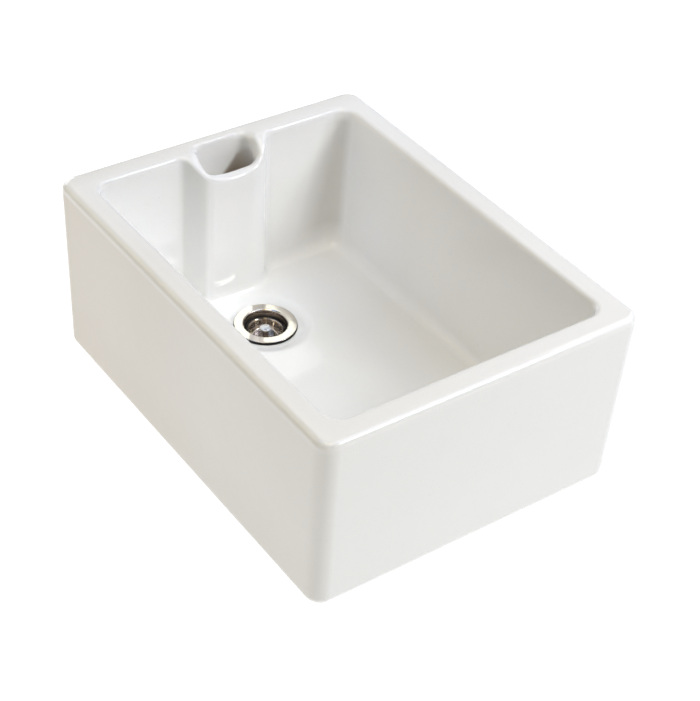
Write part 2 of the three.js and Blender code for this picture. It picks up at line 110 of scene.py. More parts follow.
def sink_field(x, y, z):
    lean = np.maximum(0.0, HEIGHT - TOP_EDGE_R - z) * TAPER
    outer = rrect(x, y, LENGTH / 2 - lean, WIDTH / 2 - lean, CORNER_R)
    inner_top = HEIGHT - INNER_EDGE_R
    draft = INNER_DRAFT * np.clip((inner_top - z) / (inner_top - FLOOR_Z), 0.0, 1.0)
    inner = rrect(x, y, INNER_HX - draft, INNER_HY - draft, INNER_CORNER_R)
    r = np.hypot(x - WASTE_X, y)
    hollow = smax(inner, floor_height(r) - z, FLOOR_FILLET_R)

    # the weir chamber stands out from the wall at -X
    widen = np.maximum(0.0, 222.0 - z) * WEIR_FLARE
    front_x = WEIR_FRONT_X + draft
    wall_x = -INNER_HX + draft
    half = WEIR_HALF_W + widen
    root = WEIR_ROOT_HALF_W + widen * 0.4
    nx, ny = root - half, front_x - wall_x
    n = np.hypot(nx, ny)
    flank = ((x - front_x) * nx + (np.abs(y) - half) * ny) / n
    weir = smax(x - front_x, flank, 9.5 + 10.5 * ease((y + 12.0) / 24.0))
    foot_r = 5.8 + 5.4 * ease((72.0 - z) / 26.0)
    solid = smin(-hollow, weir, foot_r)

    # rim
    step = 0.5
    top = weir_top(x, y)
    sx = (weir_top(x + step, y) - weir_top(x - step, y)) / (2 * step)
    sy = (weir_top(x, y + step) - weir_top(x, y - step)) / (2 * step)
    slope = np.sqrt(1.0 + np.minimum(sx * sx + sy * sy, 9.0))
    above = (z - top) / slope
    near_weir = ease((76.0 - np.abs(y)) / 14.0) * ease((-200.0 - x) / 10.0)
    edge_r = np.where(outer > solid, TOP_EDGE_R, INNER_EDGE_R - 2.4 - 0.6 * near_weir)
    body = smax(np.maximum(outer, solid), above, edge_r)
    body = smax(body, -z, BASE_EDGE_R)

    # hollow of the chamber, duct under the floor, hole and ground seat of the waste
    x0 = np.where(z < 205.0, MOUTH_X0 + 3.5 * ease((205.0 - z) / 50.0), MOUTH_X0)
    cx, hx = (x0 + MOUTH_X1) / 2, (MOUTH_X1 - x0) / 2
    chamber = smax(rrect(x - cx, y, hx, MOUTH_HALF_W, MOUTH_CORNER_R), 9.0 - z, 6.0)
    body = smax(body, -chamber, 6.4 + 5.4 * ease((y - 8.0) / 28.0) + 4.4 * ease((-y - 18.0) / 20.0))
    duct = np.maximum(rrect(y, z - 14.0, 18.0, 5.0, 4.0), np.maximum(x + 160.0, -256.0 - x))
    body = smax(body, -duct, 1.2)
    body = smax(body, WASTE_HOLE_R - r, 1.2)
    body = smax(body, -np.maximum(r - SPOT_R, z - SPOT_DEPTH), 0.8)
    return body + 0.12 + 0.11 * hand_made(x, y, z)


# ---------------------------------------------------------------- skins from fields
def graded(*knots):
    """Grid lines whose spacing runs smoothly through (place, spacing) knots."""
    places = np.array([k[0] for k in knots], float)
    gaps = np.array([k[1] for k in knots], float)
    out = [places[0]]
    while out[-1] < places[-1]:
        out.append(out[-1] + float(np.interp(out[-1], places, gaps)))
    out = np.array(out)
    return places[0] + (out - places[0]) * (places[-1] - places[0]) / (out[-1] - places[0])


def skin(field, A, B, C, polar=False, rounds=4, reach=1.5):
    """Closed quad skin of field = 0 on a grid of (x, y, z), or of (radius, turn, height), turn closing on itself."""
    if polar:
        B = np.append(B, B[0] + 2 * math.pi)
    V = field(A[:, None, None], B[None, :, None], C[None, None, :])
    V = np.broadcast_to(V, (len(A), len(B), len(C))).astype(float).copy()
    if polar:
        V[:, -1] = V[:, 0]
    V[V == 0.0] = 1e-9
    S = V < 0
    shape = np.array([len(A) - 1, len(B) - 1, len(C) - 1])
    total = int(shape.prod())
    acc = np.zeros((3, total))
    cnt = np.zeros(total)
    grids = (A, B, C)
    crossings = []
    for axis in range(3):
        lo = [slice(None)] * 3
        hi = [slice(None)] * 3
        lo[axis], hi[axis] = slice(None, -1), slice(1, None)
        lo, hi = tuple(lo), tuple(hi)
        hit = S[lo] != S[hi]
        idx = np.argwhere(hit)
        crossings.append(idx)
        va, vb = V[lo][hit], V[hi][hit]
        t = va / (va - vb)
        pos = [grids[k][idx[:, k]] for k in range(3)]
        g = grids[axis]
        pos[axis] = pos[axis] + t * (g[idx[:, axis] + 1] - g[idx[:, axis]])
        others = [k for k in range(3) if k != axis]
        for d0 in (0, 1):
            for d1 in (0, 1):
                cell = idx.copy()
                cell[:, others[0]] -= d0
                cell[:, others[1]] -= d1
                ok = np.all((cell >= 0) & (cell < shape), axis=1)
                flat = (cell[ok, 0] * shape[1] + cell[ok, 1]) * shape[2] + cell[ok, 2]
                cnt += np.bincount(flat, minlength=total)
                for k in range(3):
                    acc[k] += np.bincount(flat, weights=pos[k][ok], minlength=total)
    used = cnt > 0
    number = np.full(total, -1)
    number[used] = np.arange(int(used.sum()))
    P = (acc[:, used] / cnt[used]).T
    faces = []
    for axis in range(3):
        idx = crossings[axis]
        o0, o1 = [(1, 2), (2, 0), (0, 1)][axis]
        if polar and axis != 1:
            idx = idx[idx[:, 1] < shape[1]]
        corners = []
        ok = np.ones(len(idx), bool)
        for d0, d1 in ((1, 1), (0, 1), (0, 0), (1, 0)):
            cell = idx.copy()
            cell[:, o0] -= d0
            cell[:, o1] -= d1
            if polar:
                cell[:, 1] %= shape[1]
            corners.append(cell)
            ok &= np.all((cell >= 0) & (cell < shape), axis=1)
        quad = np.stack([number[(c[ok, 0] * shape[1] + c[ok, 1]) * shape[2] + c[ok, 2]] for c in corners], axis=1)
        inside = S[idx[ok, 0], idx[ok, 1], idx[ok, 2]]
        quad[~inside] = quad[~inside][:, ::-1]
        faces.append(quad)
    F = np.concatenate(faces)
    for _ in range(rounds):
        v = field(P[:, 0], P[:, 1], P[:, 2])
        g = slope_of(field, P, 0.04, polar)
        size = np.maximum(np.linalg.norm(g, axis=1), 0.2)
        move = (np.clip(v / size, -reach, reach) / size)[:, None] * g
        if polar:
            move[:, 1] /= P[:, 0]
        P = P - move
    N = unit(slope_of(field, P, 0.08, polar))
    if polar:
        c, s = np.cos(P[:, 1]), np.sin(P[:, 1])
        N = np.stack([N[:, 0] * c - N[:, 1] * s, N[:, 0] * s + N[:, 1] * c, N[:, 2]], axis=1)
        P = np.stack([P[:, 0] * c, P[:, 0] * s, P[:, 2]], axis=1)
    return P, F, N


def slope_of(field, P, h, polar=False):
    x, y, z = P[:, 0], P[:, 1], P[:, 2]
    k = h / x if polar else h
    return np.stack([
        field(x + h, y, z) - field(x - h, y, z),
        field(x, y + k, z) - field(x, y - k, z),
        field(x, y, z + h) - field(x, y, z - h),
    ], axis=1) / (2 * h)


def unit(v):
    return v / np.maximum(np.linalg.norm(v, axis=1), 1e-9)[:, None]


# ---------------------------------------------------------------- turned shapes
def rounded(points, steps=5):
    """A closed outline from (radius, height, corner radius) points, its corners rounded."""
    out = []
    n = len(points)
    for i in range(n):
        p0, p1, p2 = (np.array(points[(i + k) % n][:2], float) for k in (-1, 0, 1))
        rad = points[i][2] if len(points[i]) > 2 else 0.0
        a, b = p0 - p1, p2 - p1
        la, lb = np.linalg.norm(a), np.linalg.norm(b)
        if rad <= 0 or la < 1e-6 or lb < 1e-6:
            out.append(tuple(p1))
            continue
        a, b = a / la, b / lb
        half = math.acos(float(np.clip(a @ b, -1, 1))) / 2
        if half > math.pi / 2 - 0.02:
            out.append(tuple(p1))
            continue
        reach = min(rad / math.tan(half), la * 0.49, lb * 0.49)
        rad = reach * math.tan(half)
        centre = p1 + (a + b) / np.linalg.norm(a + b) * (rad / math.sin(half))
        s, e = p1 + a * reach - centre, p1 + b * reach - centre
        a0, a1 = math.atan2(s[1], s[0]), math.atan2(e[1], e[0])
        turn = (a1 - a0 + math.pi) % (2 * math.pi) - math.pi
        for k in range(steps + 1):
            t = a0 + turn * k / steps
            out.append((centre[0] + rad * math.cos(t), centre[1] + rad * math.sin(t)))
    return out


def outline_distance(outline, fine=0.08, margin=3.0):
    """Field of a closed outline in (radius, height), read from a fine table."""
    P = np.array(outline, float)
    Q = np.roll(P, -1, axis=0)
    low = P.min(axis=0) - margin
    size = np.ceil((P.max(axis=0) + margin - low) / fine).astype(int) + 1
    r = (low[0] + np.arange(size[0]) * fine)[:, None]
    z = (low[1] + np.arange(size[1]) * fine)[None, :]
    best = np.full(size, 1e9)
    inside = np.zeros(size, bool)
    for (ax, ay), (bx, by) in zip(P, Q):
        ex, ey = bx - ax, by - ay
        ll = ex * ex + ey * ey
        if ll < 1e-12:
            continue
        wx, wy = r - ax, z - ay
        t = np.clip((wx * ex + wy * ey) / ll, 0.0, 1.0)
        best = np.minimum(best, (wx - ex * t) ** 2 + (wy - ey * t) ** 2)
        if ey != 0:
            span = ((ay <= z) & (z < by)) | ((by <= z) & (z < ay))
            inside ^= span & (r < ax + (z - ay) / ey * ex)
    table = np.sqrt(best)
    table[inside] *= -1

    def field(r, z):
        u = np.clip((r - low[0]) / fine, 0, size[0] - 1.001)
        v = np.clip((z - low[1]) / fine, 0, size[1] - 1.001)
        i, j = u.astype(int), v.astype(int)
        u, v = u - i, v - j
        return (
            table[i, j] * (1 - u) * (1 - v) + table[i + 1, j] * u * (1 - v)
            + table[i, j + 1] * (1 - u) * v + table[i + 1, j + 1] * u * v
        )

    return field


def turned(outline, sides=128, x=WASTE_X, y=0.0):
    """Vertices and faces of a body of revolution from a closed outline."""
    pts = [(max(r, 0.0), z) for r, z in outline]
    area = sum(p[0] * q[1] - q[0] * p[1] for p, q in zip(pts, pts[1:] + pts[:1]))
    if area < 0:
        pts.reverse()
    verts, rows = [], []
    for r, z in pts:
        if r < 1e-6:
            rows.append([len(verts)])
            verts.append((x, y, z))
        else:
            rows.append(list(range(len(verts), len(verts) + sides)))
            for k in range(sides):
                t = 2 * math.pi * k / sides
                verts.append((x + r * math.cos(t), y + r * math.sin(t), z))
    faces = []
    for i in range(len(rows)):
        lo, hi = rows[i], rows[(i + 1) % len(rows)]
        if len(lo) == 1 and len(hi) == 1:
            continue
        for k in range(sides):
            j = (k + 1) % sides
            if len(lo) == 1:
                faces.append((lo[0], hi[j], hi[k]))
            elif len(hi) == 1:
                faces.append((lo[k], lo[j], hi[0]))
            else:
                faces.append((lo[k], lo[j], hi[j], hi[k]))
    return np.array(verts), faces


# ---------------------------------------------------------------- objects
def write_mesh(name, verts, faces, normals=None, sharp=38.0):
    me = bpy.data.meshes.new(name)
    verts = np.asarray(verts, float) * MM
    if isinstance(faces, np.ndarray):
        n, k = faces.shape
        me.vertices.add(len(verts))
        me.vertices.foreach_set("co", verts.ravel())
        me.loops.add(n * k)
        me.loops.foreach_set("vertex_index", faces.ravel().astype(np.int32))
        me.polygons.add(n)
        me.polygons.foreach_set("loop_start", np.arange(0, n * k, k, dtype=np.int32))
        me.update(calc_edges=True)
    else:
        me.from_pydata([tuple(v) for v in verts], [], faces)
        me.update(calc_edges=True)
    me.polygons.foreach_set("use_smooth", np.ones(len(me.polygons), bool))
    if normals is not None:
        me.normals_split_custom_set_from_vertices([tuple(v) for v in normals])
    else:
        me.set_sharp_from_angle(angle=math.radians(sharp))
    me.update()
    ob = bpy.data.objects.new(name, me)
    bpy.context.scene.collection.objects.link(ob)
    return ob


def place(ob, material, body, slot, *nodes):
    ob.data.materials.clear()
    ob.data.materials.append(material)
    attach(ob, body)
    if nodes:
        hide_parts(*nodes)
    return ob


# ---------------------------------------------------------------- materials
def new_material(name):
    m = bpy.data.materials.new(name)
    m.use_nodes = True
    nt = m.node_tree
    nt.nodes.clear()
    out = nt.nodes.new("ShaderNodeOutputMaterial")
    bsdf = nt.nodes.new("ShaderNodeBsdfPrincipled")
    nt.links.new(bsdf.outputs["BSDF"], out.inputs["Surface"])
    return m, nt, bsdf


def noise(nt, coords, scale, detail=3.0, rough=0.5, dist=0.0):
    n = nt.nodes.new("ShaderNodeTexNoise")
    n.inputs["Scale"].default_value = scale
    n.inputs["Detail"].default_value = detail
    n.inputs["Roughness"].default_value = rough
    n.inputs["Distortion"].default_value = dist
    nt.links.new(coords, n.inputs["Vector"])
    return n.outputs["Fac"]


def ramp(nt, fac, *stops):
    """stops: (place, colour or grey)"""
    r = nt.nodes.new("ShaderNodeValToRGB")
    while len(r.color_ramp.elements) < len(stops):
        r.color_ramp.elements.new(0.5)
    for e, (p, c) in zip(r.color_ramp.elements, stops):
        e.position = p
        e.color = (c, c, c, 1) if isinstance(c, (int, float)) else (*c, 1)
    nt.links.new(fac, r.inputs["Fac"])
    return r.outputs["Color"]


def mix_colour(nt, fac, a, b, how="MIX"):
    m = nt.nodes.new("ShaderNodeMix")
    m.data_type = "RGBA"
    m.blend_type = how
    for socket, value in ((m.inputs[0], fac), (m.inputs[6], a), (m.inputs[7], b)):
        if hasattr(value, "links"):
            nt.links.new(value, socket)
        else:
            socket.default_value = value if isinstance(value, (int, float)) else (*value, 1)
    return m.outputs[2]


def math_node(nt, op, a, b=None, clamp=False):
    m = nt.nodes.new("ShaderNodeMath")
    m.operation = op
    m.use_clamp = clamp
    for socket, value in ((m.inputs[0], a), (m.inputs[1], b)):
        if value is None:
            continue
        if hasattr(value, "links"):
            nt.links.new(value, socket)
        else:
            socket.default_value = value
    return m.outputs[0]


def bump(nt, bsdf, height, strength, distance, chain=None):
    b = nt.nodes.new("ShaderNodeBump")
    b.inputs["Strength"].default_value = strength
    b.inputs["Distance"].default_value = distance
    nt.links.new(height, b.inputs["Height"])
    if chain is not None:
        nt.links.new(chain, b.inputs["Normal"])
    nt.links.new(b.outputs["Normal"], bsdf.inputs["Normal"])
    return b.outputs["Normal"]


def glaze():
    m, nt, bsdf = new_material("fireclay_glaze")
    tex = nt.nodes.new("ShaderNodeTexCoord").outputs["Object"]
    geo = nt.nodes.new("ShaderNodeNewGeometry")
    # slow cloudiness of the glaze, and rare fine pits
    cloud = noise(nt, tex, 5.0, 3.0, 0.55)
    tint = ramp(nt, cloud, (0.30, (0.972, 0.970, 0.965)), (0.70, (0.988, 0.988, 0.987)))
    # tints by place, from here to the apron, are painted light and shade: fitted to the photo's brightness under these
    # lamps, not known to be in the real glaze. First, painted light: whiter towards the weir's end of the basin, darker
    # towards the +X end
    place_in = nt.nodes.new("ShaderNodeSeparateXYZ")
    nt.links.new(tex, place_in.inputs[0])
    painted_light_and_shade_by_place = ramp(nt, math_node(nt, "MULTIPLY", math_node(nt, "ADD", place_in.outputs["X"], 0.3), 1.6667, clamp=True),
                 (0.02, (0.945, 0.940, 0.925)), (0.06, (0.995, 0.998, 1.0)), (0.22, (0.970, 0.971, 0.970)), (0.34, (0.932, 0.928, 0.918)), (1.0, (0.900, 0.896, 0.882)))
    tint = mix_colour(nt, 1.0, tint, painted_light_and_shade_by_place, "MULTIPLY")
    # painted shade, fitted in the same way: darker floor, corner behind the weir, edges, flank and rim top
    def toward(x, y, z):
        facing = nt.nodes.new("ShaderNodeVectorMath")
        facing.operation = "DOT_PRODUCT"
        facing.inputs[1].default_value = (x, y, z)
        nt.links.new(geo.outputs["Normal"], facing.inputs[0])
        return facing.outputs["Value"]

    def past(value, start, gain):
        return math_node(nt, "MULTIPLY", math_node(nt, "SUBTRACT", value, start), gain, clamp=True)

    def times(*factors):
        out = factors[0]
        for f in factors[1:]:
            out = math_node(nt, "MULTIPLY", out, f)
        return out

    px, py, pz = (place_in.outputs[k] for k in "XYZ")
    minus_x, minus_z = math_node(nt, "MULTIPLY", px, -1.0), math_node(nt, "MULTIPLY", pz, -1.0)
    slant = math_node(nt, "ADD", py, math_node(nt, "MULTIPLY", math_node(nt, "SUBTRACT", 0.12, pz), 0.25))
    # painted shade: the floor darker
    painted_floor_shade = times(past(toward(0, 0, 1), 0.90, 12.0), past(minus_z, -0.07, 40.0))
    tint = mix_colour(nt, painted_floor_shade, tint, mix_colour(nt, 1.0, tint, (0.955, 0.953, 0.945), "MULTIPLY"))
    # painted shadow: the wall darker in the corner behind the weir, below a slanting line, where the back wall's shadow
    # falls
    painted_corner_shadow = times(past(slant, 0.125, 26.0), past(minus_x, 0.14, 11.0), past(minus_z, -0.246, 100.0), past(toward(1, 0, 0), 0.2, 2.0), past(pz, 0.045, 30.0))
    tint = mix_colour(nt, painted_corner_shadow, tint, mix_colour(nt, 1.0, tint, (0.80, 0.79, 0.765), "MULTIPLY"))
    # painted shade: surfaces and edges turned towards the key lamp darker
    wear_and_painted_shade = times(past(toward(0.69, 0.26, 0.675), 0.80, 7.0), past(minus_x, -0.2, 20.0), past(pz, 0.07, 40.0))
    tint = mix_colour(nt, wear_and_painted_shade, tint, mix_colour(nt, 1.0, tint, (0.875, 0.873, 0.865), "MULTIPLY"))
    # painted shade: the rim's inner edge on the -Y side, turned up and inwards, darker
    wear_and_painted_shade = times(past(toward(0.0, 0.75, 0.66), 0.80, 7.0), past(math_node(nt, "MULTIPLY", py, -1.0), 0.16, 50.0), past(pz, 0.22, 50.0))
    tint = mix_colour(nt, wear_and_painted_shade, tint, mix_colour(nt, 1.0, tint, (0.95, 0.948, 0.940), "MULTIPLY"))
    # painted shade: the weir's flank that faces -Y darker
    flank = times(past(toward(0.51, -0.86, 0.0), 0.82, 8.0), past(minus_x, 0.222, 300.0), past(math_node(nt, "MULTIPLY", math_node(nt, "ABSOLUTE", py), -1.0), -0.072, 200.0))
    tint = mix_colour(nt, flank, tint, mix_colour(nt, 1.0, tint, (0.88, 0.885, 0.865), "MULTIPLY"))
    # painted shade: the rim top a little darker
    tint = mix_colour(nt, times(past(toward(0, 0, 1), 0.85, 8.0), past(pz, 0.240, 200.0)), tint, mix_colour(nt, 1.0, tint, (0.968, 0.962, 0.950), "MULTIPLY"))
    # painted shade on the apron, warm-toned and deepest towards its far end and its foot, and painted light on a whiter
    # edge above it: fitted too
    apron = math_node(nt, "MULTIPLY", math_node(nt, "SUBTRACT", -0.205, place_in.outputs["Y"]), 60.0, clamp=True)
    painted_edge_light = math_node(nt, "MULTIPLY", math_node(nt, "SUBTRACT", place_in.outputs["Z"], 0.2405), 160.0, clamp=True)
    painted_apron_shade = ramp(nt, math_node(nt, "MULTIPLY", math_node(nt, "ADD", place_in.outputs["X"], 0.3), 1.6667, clamp=True),
                (0.0, (0.845, 0.795, 0.725)), (0.12, (0.885, 0.835, 0.775)), (0.30, (0.925, 0.880, 0.830)), (0.62, (0.975, 0.962, 0.937)), (1.0, (0.985, 0.975, 0.950)))
    painted_apron_foot_shade = ramp(nt, math_node(nt, "MULTIPLY", place_in.outputs["Z"], 10.0, clamp=True), (0.0, (0.955, 0.950, 0.935)), (1.0, (1.0, 1.0, 1.0)))
    painted_apron_shade = mix_colour(nt, 1.0, painted_apron_shade, painted_apron_foot_shade, "MULTIPLY")
    painted_apron_shade = mix_colour(nt, painted_edge_light, painted_apron_shade, (1.03, 1.025, 1.01))
    tint = mix_colour(nt, apron, tint, mix_colour(nt, 1.0, tint, painted_apron_shade, "MULTIPLY"))
    specks = noise(nt, tex, 900.0, 1.0, 0.4)
    pits = ramp(nt, specks, (0.0, 0.0), (0.735, 0.0), (0.765, 1.0))
    colour = mix_colour(nt, pits, tint, (0.70, 0.67, 0.62))
    # the underside is wiped clean of glaze before firing
    sep = nt.nodes.new("ShaderNodeSeparateXYZ")
    nt.links.new(tex, sep.inputs[0])
    nrm = nt.nodes.new("ShaderNodeSeparateXYZ")
    nt.links.new(geo.outputs["Normal"], nrm.inputs[0])
    wob = noise(nt, tex, 60.0, 3.0, 0.6)
    low = math_node(nt, "ADD", sep.outputs["Z"], math_node(nt, "MULTIPLY", wob, 0.0022))
    foot = math_node(nt, "MULTIPLY", math_node(nt, "LESS_THAN", low, 0.0029), math_node(nt, "LESS_THAN", nrm.outputs["Z"], -0.5))
    grain = noise(nt, tex, 420.0, 4.0, 0.7)
    biscuit = ramp(nt, grain, (0.30, (0.50, 0.415, 0.31)), (0.52, (0.63, 0.55, 0.44)), (0.74, (0.70, 0.63, 0.53)))
    # painted shadow, clay brown, low in the overflow chamber below a slanting line and fading out upwards: a reading of
    # a brown patch in the photo
    across = math_node(nt, "MULTIPLY", math_node(nt, "SUBTRACT", place_in.outputs["Y"], 0.0102), 1.23)
    line = math_node(nt, "ADD", across, math_node(nt, "MULTIPLY", noise(nt, tex, 90.0, 2.0, 0.5), 0.004))
    painted_chamber_shadow = math_node(nt, "MULTIPLY", math_node(nt, "SUBTRACT", math_node(nt, "ADD", line, 0.2005), place_in.outputs["Z"]), 110.0, clamp=True)
    painted_chamber_shadow = math_node(nt, "MULTIPLY", painted_chamber_shadow, math_node(nt, "LESS_THAN", math_node(nt, "ABSOLUTE", math_node(nt, "ADD", place_in.outputs["X"], 0.2645)), 0.0188))
    painted_chamber_shadow = math_node(nt, "MULTIPLY", painted_chamber_shadow, math_node(nt, "LESS_THAN", math_node(nt, "ABSOLUTE", place_in.outputs["Y"]), 0.0425))
    painted_chamber_shadow = math_node(nt, "MULTIPLY", painted_chamber_shadow, math_node(nt, "GREATER_THAN", place_in.outputs["Z"], 0.007))
    shade = math_node(nt, "MULTIPLY", math_node(nt, "SUBTRACT", 0.247, place_in.outputs["Z"]), 21.0, clamp=True)
    colour = mix_colour(nt, math_node(nt, "MULTIPLY", painted_chamber_shadow, shade), colour, (0.40, 0.345, 0.295))
    nt.links.new(mix_colour(nt, foot, colour, biscuit), bsdf.inputs["Base Color"])
    gloss = ramp(nt, noise(nt, tex, 14.0, 4.0, 0.6), (0.30, 0.020), (0.70, 0.040))
    # softer gloss on the back wall, to weaken a mirror image of the waste that the photo doesn't show
    soft = times(past(toward(0, -1, 0), 0.75, 8.0), past(py, 0.16, 100.0))
    gloss = mix_colour(nt, soft, gloss, (0.24, 0.24, 0.24))
    nt.links.new(mix_colour(nt, foot, gloss, (0.78, 0.78, 0.78)), bsdf.inputs["Roughness"])
    bsdf.inputs["IOR"].default_value = 1.52
    bsdf.inputs["Specular IOR Level"].default_value = 0.5
    # faint orange peel of the glaze, over the slow swell of the clay
    swell = bump(nt, bsdf, noise(nt, tex, 22.0, 2.0, 0.5), 0.10, 0.004)
    peel = bump(nt, bsdf, noise(nt, tex, 160.0, 2.0, 0.5), 0.05, 0.001, swell)
    rough = math_node(nt, "MULTIPLY", grain, foot)
    bump(nt, bsdf, rough, 0.5, 0.0006, peel)
    return m


def metal(name, colour, dark, roughness, scratch=0.05, rings=0.0, well=None, lip=None):
    """Polished or machined metal: clouded polish, fine scratches and, where turned, rings of the tool.
    well: (radius, roughness, colour) of a duller, browner hollow round the waste's centre line.
    lip: (radius, colour) of a darker edge outside that radius."""
    m, nt, bsdf = new_material(name)
    tex = nt.nodes.new("ShaderNodeTexCoord").outputs["Object"]
    cloud = noise(nt, tex, 90.0, 3.0, 0.6)
    nt.links.new(ramp(nt, cloud, (0.28, dark), (0.62, colour)), bsdf.inputs["Base Color"])
    bsdf.inputs["Metallic"].default_value = 1.0
    wear_and_painted_shade = noise(nt, tex, 260.0, 4.0, 0.65)
    nt.links.new(ramp(nt, wear_and_painted_shade, (0.25, roughness * 0.7), (0.75, roughness * 1.5)), bsdf.inputs["Roughness"])
    stretch = nt.nodes.new("ShaderNodeMapping")
    stretch.inputs["Scale"].default_value = (1.0, 14.0, 1.0)
    stretch.inputs["Rotation"].default_value = (0.3, 0.5, 0.7)
    nt.links.new(tex, stretch.inputs["Vector"])
    lines = noise(nt, stretch.outputs["Vector"], 180.0, 3.0, 0.7)
    last = bump(nt, bsdf, lines, scratch, 0.0002)
    if rings > 0 or well or lip:
        # distance from the waste's centre line
        shift = nt.nodes.new("ShaderNodeVectorMath")
        shift.operation = "SUBTRACT"
        shift.inputs[1].default_value = (WASTE_X * MM, 0, 0)
        nt.links.new(tex, shift.inputs[0])
        flat = nt.nodes.new("ShaderNodeVectorMath")
        flat.operation = "MULTIPLY"
        flat.inputs[1].default_value = (1, 1, 0)
        nt.links.new(shift.outputs[0], flat.inputs[0])
        size = nt.nodes.new("ShaderNodeVectorMath")
        size.operation = "LENGTH"
        nt.links.new(flat.outputs[0], size.inputs[0])
    if well:
        radius, dull, brown = well
        inside = math_node(nt, "MULTIPLY", math_node(nt, "SUBTRACT", radius * MM, size.outputs["Value"]), 600.0, clamp=True)
        polish = bsdf.inputs["Roughness"].links[0].from_socket
        nt.links.new(mix_colour(nt, inside, polish, (dull, dull, dull)), bsdf.inputs["Roughness"])
        bright = bsdf.inputs["Base Color"].links[0].from_socket
        nt.links.new(mix_colour(nt, inside, bright, brown), bsdf.inputs["Base Color"])
    if lip:
        radius, brown = lip
        outside = math_node(nt, "MULTIPLY", math_node(nt, "SUBTRACT", size.outputs["Value"], radius * MM), 1500.0, clamp=True)
        bright = bsdf.inputs["Base Color"].links[0].from_socket
        nt.links.new(mix_colour(nt, outside, bright, brown), bsdf.inputs["Base Color"])
    if rings > 0:
        turn = nt.nodes.new("ShaderNodeTexNoise")
        turn.noise_dimensions = "1D"
        turn.inputs["Scale"].default_value = 2600.0
        turn.inputs["Detail"].default_value = 2.0
        nt.links.new(size.outputs["Value"], turn.inputs["W"])
        bump(nt, bsdf, turn.outputs["Fac"], rings, 0.0003, last)
    return m


def moulded(name, colour, light, roughness, grain_scale=300.0, strength=0.25, gleam=0.5):
    """Rubber or moulded plastic: fine matt grain and a little bloom."""
    m, nt, bsdf = new_material(name)
    bsdf.inputs["Specular IOR Level"].default_value = gleam
    tex = nt.nodes.new("ShaderNodeTexCoord").outputs["Object"]
    cloud = noise(nt, tex, 120.0, 4.0, 0.6)
    nt.links.new(ramp(nt, cloud, (0.35, colour), (0.75, light)), bsdf.inputs["Base Color"])
    nt.links.new(ramp(nt, noise(nt, tex, 200.0, 3.0, 0.6), (0.3, roughness * 0.85), (0.7, roughness * 1.12)), bsdf.inputs["Roughness"])
    bump(nt, bsdf, noise(nt, tex, grain_scale, 4.0, 0.65), strength, 0.0003)
    return m


GLAZE = glaze()
CHROME = metal("polished_chrome", (0.660, 0.617, 0.567), (0.630, 0.585, 0.532), 0.04, well=(30.6, 0.32, (0.42, 0.35, 0.295)))
STEEL = metal("basket_steel", (0.62, 0.565, 0.51), (0.47, 0.42, 0.37), 0.13, 0.08, lip=(22.4, (0.15, 0.125, 0.105)))
KNOB = metal("knob_chrome", (0.88, 0.905, 0.93), (0.82, 0.845, 0.875), 0.26)
BRASS = metal("brass", (0.74, 0.55, 0.25), (0.60, 0.42, 0.18), 0.22, 0.12, 0.25)
RUBBER = moulded("black_rubber", (0.004, 0.004, 0.004), (0.014, 0.014, 0.014), 0.50, 300.0, 0.25, 0.22)
NYLON = moulded("white_nylon", (0.78, 0.77, 0.73), (0.86, 0.85, 0.82), 0.42, 240.0, 0.12)


# ---------------------------------------------------------------- basin
def build_basin():
    X = graded((-300, 2.4), (-286, 2.4), (-250, 2.0), (-244, 1.4), (-226, 1.4), (-218, 2.2), (-206, 2.6), (-196, 3.0), (-104, 3.1),
               (-84, 6), (-60, 16), (200, 18), (228, 6), (240, 2.9), (270, 2.7), (284, 3.0), (291, 2.6), (300, 2.3))
    Y = graded((-230, 2.3), (-221, 2.6), (-214, 3.2), (-200, 2.6), (-190, 2.0), (-180, 2.2), (-168, 2.9), (-150, 9), (-95, 9),
               (-76, 2.9), (22, 2.9), (30, 1.7), (46, 1.7), (54, 2.6), (76, 2.9),
               (95, 9), (150, 9), (168, 2.9), (200, 2.8), (214, 3.2), (221, 2.6), (230, 2.3))
    Z = graded((-3, 1.9), (6, 2.0), (18, 2.6), (26, 2.4), (58, 2.8), (76, 12), (204, 12), (216, 2.4), (257.5, 2.1))
    P, F, N = skin(sink_field, X, Y, Z)
    ob = write_mesh("sink_basin_glazed", P, F, N)
    return place(ob, GLAZE, "sink", "fireclay_glaze", "sink_basin")


# ---------------------------------------------------------------- waste
def bar(x, y, z, hx, hy, z0, z1, r=0.3):
    """Field of a box with rounded edges."""
    return smax(smax(np.abs(x) - hx, np.abs(y) - hy, r), np.maximum(z - z1, z0 - z), r)


def thread(r_nominal, r, turn, z, depth, z0, z1, pitch=2.309):
    """Radius of a rolled thread at a height and turn."""
    phase = (z / pitch - turn / (2 * math.pi)) % 1.0
    tooth = np.abs(phase - 0.5) * 2.0
    wave = np.clip((tooth - 0.5) * 2.2, -1, 1) * 0.5 + 0.5
    fade = ease((z - z0) / 2.4) * ease((z1 - z) / 2.4)
    return r_nominal - depth * (1 - wave) * fade


